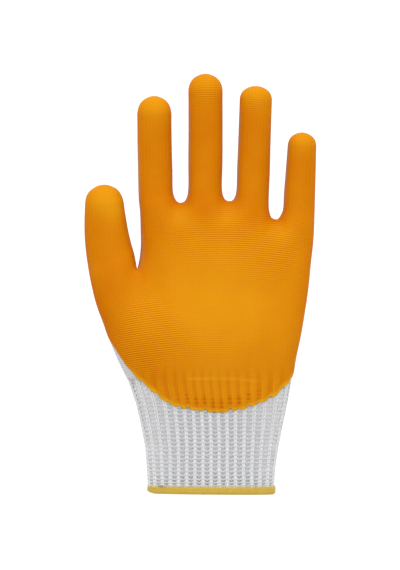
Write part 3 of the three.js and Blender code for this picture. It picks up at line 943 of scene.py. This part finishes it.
film = 0.6
film_gap = 0.05  # the film's underside lies just over the stitches
edge_width = 2  # the film thins to nothing over this distance
edge_turn = -0.3  # how high on the sides of hand and digits the film ends
thin_turn = (0.2, 0.46)  # on the thumb side of palm and fingers it is so thin that the knit shows, painted darker as knit in shade
thin_gain = 0.16  # that line reaches further up on the fingers, which are narrower
thin_fingers = (160, 178)
thin_heights = (128, 148, 222, 238)  # that line starts and ends over these stretches
thin_side = (-44, -38, 25)  # beside the index finger it ends this much lower
thin_from = (-50, -44)  # the thumb has no such line
thin_facing = (0.2, 0.7)  # it needs a surface that faces the thumb side
tip_wrap = 2.4  # how fast the film turns under at the fingertips
half_depth = 10  # half the depth of a digit, which turns a share of it into a length
dimple = 0.5
dimple_width = 0.24  # in ribs
dimple_reach = 9  # dimples show this far up from the film's edge
dimple_place = (5, 25)  # and this far to both sides of the middle
dimple_fade = 0.75  # they fade from this share of their reach
dimple_phase = 0.6  # where the dimples lie in a course, from its lower edge
cuff_line = 0.18  # height of the line where the ribs end
line_ends = (-11, 25)
line_fade = 6  # it fades out over this distance at both ends
line_width = 0.6
line_rise = 1.5  # it lies this far above the top of the cuff
line_bend = 0.0026  # and bends down to the right of its crest
line_crest = 2
rib_level = 54  # under the film the ribs are counted round the wrist at this height
rib_samples = 401
rib_rounds = 3

# Where the film ends on the wrist, as x and y.
dip_edge = [
    (-90, 106), (-66.6, 103.1), (-60.2, 92.4), (-50.7, 77.8), (-44, 69.8), (-38.6, 65.2),
    (-33.2, 60.2), (-28.7, 56.8), (-20.8, 52.7), (-15, 51.5), (-9, 50.8), (-3.6, 50), (1, 49.5),
    (8, 49.5), (13, 50.4), (18.9, 51.2), (24, 52.8), (28.9, 54.8), (33.5, 56.6), (39.7, 60.3),
    (42.4, 63.5), (46.6, 67.3), (49.4, 72), (60, 76), (90, 80),
]
# The film stops short over the sunken wales, by these lengths.
first_notch = 2
notches = [0.6, 1.1, 0.5, 1.3, 1.5, 0.6, 1.7, 0.3, 0.2, 2, 1, 1.6, 0.7, 1.2, 0.5]
notch_width = 0.2  # in ribs


# Which rib a point of the palm side or the back lies on: whole numbers are the sunken wales.
def rib_at(x, y, palm_side):
    outline = wrist_oval(np.linspace(0, 0.5, rib_samples), rib_level)
    section = section_at(cuff_rows, y)
    place = (outline[:, 0] - outline[0, 0]) / (outline[-1, 0] - outline[0, 0])
    across_wrist = (x - section.left) / (section.right - section.left)
    girth = np.interp(across_wrist, place, length_reached(outline) / 2)
    girth = np.where(palm_side, girth, 1 - girth)
    share = girth
    for _ in range(rib_rounds):
        share = share - girth_place(share, y) + girth
    return share * rib_count


# How far the ribs under it sink the fabric above the cuff.
def rib_sink(x, y, palm_side):
    groove = 0.5 + 0.5 * np.cos(2 * math.pi * rib_at(x, y, palm_side))
    return rib_groove * groove * (1 - smoothstep(y, *ribs_fade))


def dip_height(x, y, palm_side):
    smooth = np.interp(x, *zip(*dip_edge))
    rib = rib_at(x, np.minimum(y, cuff_top), palm_side)
    wale = np.round(rib)
    length = np.interp(wale, np.arange(len(notches)) + first_notch, notches, left=0, right=0)
    return smooth + length * np.exp(-(((rib - wale) / notch_width) ** 2))


# Distance of each point of the skin inside the edge of the film, roughly in millimetres.
def film_reach(skin, normals):
    x, y, _, turn, _, tip = skin.T
    side = (turn + tip_wrap * tip - edge_turn) * half_depth
    slope = (np.interp(x + 1, *zip(*dip_edge)) - np.interp(x - 1, *zip(*dip_edge))) / 2
    dip = (y - dip_height(x, y, normals[:, 2] > 0)) / np.sqrt(1 + slope**2)
    return np.minimum(side, dip)


# The part of a surface where the field is over zero, cut along the line where it passes zero.
def clip(points, faces, field, snap=0.05):
    field = np.where(np.abs(field) < snap, 0, field)
    inside = field >= 0
    count = inside[faces].sum(1)
    kept = faces[count == 4].tolist()
    cuts = {}
    added = []
    for face in faces[(count > 0) & (count < 4)].tolist():
        polygon = []
        for a, b in zip(face, face[1:] + face[:1]):
            if inside[a]:
                polygon.append(a)
            start, end = (a, b) if inside[a] else (b, a)
            if inside[a] != inside[b] and field[start] > 0:
                if (start, end) not in cuts:
                    cuts[start, end] = len(points) + len(added)
                    share = field[start] / (field[start] - field[end])
                    added.append(lerp(points[start], points[end], share))
                polygon.append(cuts[start, end])
        if len(polygon) > 2:
            kept.append(polygon)
    field = np.concatenate([field, np.zeros(len(added))])
    return np.concatenate([points, added]), kept, field


skin, skin_faces, _ = rounded(net, net_faces, zones, 3)
skin_normals = point_normals(skin[:, :3], skin_faces)
reach = film_reach(skin, skin_normals)
skin_columns = skin.shape[1]
film_points, film_faces, film_field = clip(np.hstack([skin, skin_normals]), skin_faces, reach)
used = sorted(set().union(*film_faces))
renumber = {old: new for new, old in enumerate(used)}
film_faces = [[renumber[i] for i in face] for face in film_faces]
film_points = film_points[used]
film_field = np.maximum(film_field[used], 0)

film_x, film_y = film_points[:, 0], film_points[:, 1]
film_normals = film_points[:, skin_columns:]
film_rib = rib_at(film_x, film_y, True)
row = 0.5 + 0.5 * np.cos(2 * math.pi * ((film_y - cuff_top) / course_height - dimple_phase))
near_edge = 1 - smoothstep(film_field, dimple_reach * dimple_fade, dimple_reach)
in_middle = np.exp(-(((film_x - dimple_place[0]) / dimple_place[1]) ** 4))
dimple_row = row * near_edge * in_middle * (film_y < cuff_top)
line_height = cuff_top + line_rise - line_bend * np.maximum(film_x - line_crest, 0) ** 2
line_share = smoothstep(film_x, line_ends[0] - line_fade, line_ends[0])
line_share *= 1 - smoothstep(film_x, line_ends[1], line_ends[1] + line_fade)
line_share *= np.exp(-(((film_y - line_height) / line_width) ** 2))

# The ribs and loops under the film lift it or let it sink.
groove = 0.5 + 0.5 * np.cos(2 * math.pi * film_rib)
lift = cuff_line * line_share - dimple * groove**2 * dimple_row
lift -= rib_sink(film_x, film_y, film_normals[:, 2] > 0)
underside = knit_proud + film_gap + lift
edge_share = np.clip(film_field / edge_width, 0, 1)
thickness = film * np.sqrt(1 - (1 - edge_share) ** 2)
outer_places = film_points[:, :3] + film_normals * (underside + thickness)[:, None]
inner_places = film_points[:, :3] + film_normals * underside[:, None]
rim = film_field == 0
inner_number = np.where(rim, np.arange(len(rim)), len(rim) + np.cumsum(~rim) - 1)
film_shell = []
for face in film_faces:
    if not rim[face].all():
        film_shell += [face, inner_number[face[::-1]]]
film_places = np.concatenate([outer_places, inner_places[~rim]])

# Where the knit shows through the film, as soft patches: x, y, both radii and strength.
row_patches = [
    (14, 152, 34, 13, 1), (36, 140, 18, 14, 0.6), (-36, 96, 18, 13, 1), (-8, 90, 40, 9, 0.4),
    (-3, 240, 8, 6, 0.7), (26, 233, 8, 5, 0.4), (-38, 106, 10, 11, 0.9), (-40, 82, 10, 10, 0.9),
]
base_print = 0.12
# Painted light and shade on the film: patches that lighten it where light falls on the palm, the
# pads, the fingertips and the thumb, and with a negative strength darken it at the finger roots,
# between the fingers and on shaded slopes.
light_and_shade_patches = [
    (5, 114, 52, 42, 0.57), (-19, 166, 8, 6, 0.24), (10.5, 166, 8, 6, 0.2), (41, 156, 8, 6, 0.24),
    (24, 150, 26, 10, 0.12), (-63, 178, 11, 11, 0.64), (-34, 235, 11, 10, 0.54),
    (-3.3, 248, 11, 10, 0.42), (27, 241, 11, 9, 0.52), (55, 213.5, 9, 8, 0.48),
    (-37, 154, 9, 20, -0.14), (-60, 115, 11, 22, -0.15), (-57.5, 168, 5, 10, 0.22),
    (-42, 104, 12, 10, 0.14), (-30, 74, 20, 10, -0.08), (10, 62, 50, 14, 0.24),
    (50, 84, 12, 20, 0.14), (-18.2, 176, 7, 4, -0.3), (11, 177, 7, 4, -0.3),
    (38.5, 166, 6, 4, -0.3), (-4, 172, 6, 10, -0.2), (26, 166, 6, 9, -0.18),
]
base_tone = 0.31
side_painted_shade = 0.22  # painted shade: the film's colour is this much darker at the sides of hand and digits
shaded_sides = (0.1, 0.75)
pale_width = (0.3, 3)  # its edge is pale over this distance
pale_heights = (66, 84)  # on the ribs, and less and less on the hand
lines_fade = (cuff_top - 3, cuff_top + 2)  # the lines beside the hollows end here


def patches_on_film(patches, base):
    total = base + 0 * film_x
    for x, y, rx, ry, strength in patches:
        total += strength * np.exp(-(((film_x - x) / rx) ** 2) - ((film_y - y) / ry) ** 2)
    return np.clip(total, 0, 1)


deep_orange = colour(209, 109, 0)
light_orange = colour(234, 156, 18)
shaded_hollow_orange = colour(194, 94, 0)
line_orange = colour(244, 168, 24)
knit_in_shade_grey = colour(190, 146, 110)
pale_edge = colour(244, 186, 30)
knit_contrast = 0.55
column_contrast = 0.07
cloud_contrast = 0.3
grain_contrast = 0.25
hollow_strength = 0.25
dimple_strength = 0.6
rib_line_place = 0.3  # to the right of a hollow, in ribs
rib_line_strength = 0.35
cuff_line_strength = 0.45
rim_strength = 0.75
thin_strength = 0.75


# Rows and columns of stitches as they press through the film, about 0 in the middle.
def pressed_knit(paint):
    rows = paint.value("course").wave(stitch_height) * paint.value("print")
    columns = paint.value("wale").wave(stitch_width)
    return rows + columns * column_contrast


# Distance from the middle of the nearest sunken wale, in ribs.
def from_hollow(paint):
    return (paint.value("rib") + 0.5).fraction() - 0.5


# Painted shade: the film is coloured darker in the hollows over the sunken wales.
def painted_hollow_shade(paint):
    return abs(from_hollow(paint)).between(0.3, 0.1) * paint.value("ribbed")


# A fine light line runs along the right of each hollow, and one across where the ribs end.
def light_lines(paint):
    beside = abs(from_hollow(paint) - rib_line_place)
    rib_lines = beside.between(0.09, 0.01) * paint.value("lined")
    return rib_lines * rib_line_strength + paint.value("line") * cuff_line_strength


# The share between deep and light orange: the painted light and shade of the tone attribute, the
# knit pressing through, and random clouds and grain.
def film_tone(paint):
    clouds = (paint.noise(60) - 0.5) * cloud_contrast
    grain = (paint.noise(900, 3) - 0.5) * grain_contrast
    return paint.value("tone") + pressed_knit(paint) * knit_contrast + (clouds + grain)


def film_colour(paint):
    film_base = paint.mix(film_tone(paint), deep_orange, light_orange)
    # Painted shade in the hollows over the sunken wales and in the dimples.
    shade = painted_hollow_shade(paint) * hollow_strength + paint.value("dimple") * dimple_strength
    sunk = paint.mix(shade, film_base, shaded_hollow_orange)
    lined = paint.mix(light_lines(paint), sunk, line_orange)
    edged = paint.mix(paint.value("edge") * rim_strength, lined, pale_edge)
    # Where the film is thin the knit shows through, coloured as knit in painted shade.
    return paint.mix(paint.value("thin") * thin_strength, edged, knit_in_shade_grey)


nitrile = add_material(
    "orange_nitrile",
    {"Roughness": 0.5, "Specular IOR Level": 0.02},
    Base_Color=film_colour,
    Normal=lambda paint: paint.bump(pressed_knit(paint) * 0.35 + paint.noise(1500, 3) * 0.4, 0.16),
)

facing = film_points[:, 3] + film_points[:, 5]
# The tone attribute holds painted light and shade.
light_and_shade_share = patches_on_film(light_and_shade_patches, base_tone)
# Painted shade towards the sides, where the surface turns away.
light_and_shade_share -= side_painted_shade * (1 - smoothstep(facing, *shaded_sides))
pale_share = (1 - smoothstep(film_field, *pale_width)) * (1 - smoothstep(film_y, *pale_heights))
on_finger = thin_gain * smoothstep(film_y, *thin_fingers)
beside_index = thin_side[2] * (1 - smoothstep(film_x, *thin_side[:2]))
thin_share = 1 - smoothstep(facing - on_finger, *thin_turn)
thin_share *= smoothstep(film_y, *thin_heights[:2]) * smoothstep(film_x, *thin_from)
thin_share *= 1 - smoothstep(film_y + beside_index, *thin_heights[2:])
thin_share *= smoothstep(-film_normals[:, 0], *thin_facing)
film_values = {
    "wale": film_points[:, 4],
    "course": course_of(film_points),
    "edge": pale_share,
    "print": patches_on_film(row_patches, base_print),
    "tone": light_and_shade_share,
    "rib": film_rib,
    "ribbed": 1 - smoothstep(film_y, *ribs_fade),
    "lined": 1 - smoothstep(film_y, *lines_fade),
    "thin": thin_share,
    "dimple": dimple_row * np.exp(-(((film_rib - np.round(film_rib)) / dimple_width) ** 2)),
    "line": line_share,
}
add_piece(
    "nitrile_palm",
    film_places,
    film_shell,
    nitrile,
    ["palm_coating"],
    {name: np.append(numbers, numbers[~rim]) for name, numbers in film_values.items()},
)

# The table and the light
# A pale table top under a broad, even light that comes mostly from beyond the fingertips, and a
# camera straight above the glove.

table_size = 6  # in metres
picture_height = 570
millimetres_per_pixel = 0.6
picture_centre = (-6.62, 125.7)  # the middle of the picture lies here on the glove
outline_height = 12  # the outline of the glove lies about this far above the table
camera_distance = 2  # in metres
sensor = 36

table_mesh = bpy.data.meshes.new("table_top")
signs = [(-1, -1), (1, -1), (1, 1), (-1, 1)]
corners = [(x * table_size / 2, y * table_size / 2, 0) for x, y in signs]
table_mesh.from_pydata(corners, [], [(0, 1, 2, 3)])
add_object("table_top", table_mesh)
table_look = {"Base Color": (0.5, 0.5, 0.5, 1), "Roughness": 0.9}
table_look |= {"Emission Color": (1, 1, 1, 1), "Emission Strength": 0.75}
table_mesh.materials.append(add_material("pale_table", table_look))

lamps = [("far_softbox", (0, 1.6, 1.2), 1.2, 17), ("overhead_softbox", (0, -0.2, 2.4), 1.8, 21)]
for name, place, size, power in lamps:
    light = bpy.data.lights.new(name, "AREA")
    light.size = size
    light.energy = power
    holder = add_object(name, light)
    holder.location = place
    holder.rotation_euler = (-Vector(place)).to_track_quat("-Z", "Y").to_euler()
    holder.visible_camera = False

world = bpy.data.worlds.new("room")
world.use_nodes = True
background = world.node_tree.nodes["Background"].inputs
background["Color"].default_value = (1, 1, 1, 1)
background["Strength"].default_value = 0.45
bpy.context.scene.world = world
bpy.context.scene.view_settings.view_transform = "Standard"

camera_data = bpy.data.cameras.new("camera")
camera_data.sensor_width = sensor
camera_data.lens = sensor * camera_distance / (picture_height * millimetres_per_pixel * millimetre)
camera = add_object("camera", camera_data)
camera.location = origin + np.array([*picture_centre, outline_height]) * millimetre
camera.location.z += camera_distance
bpy.context.scene.camera = camera
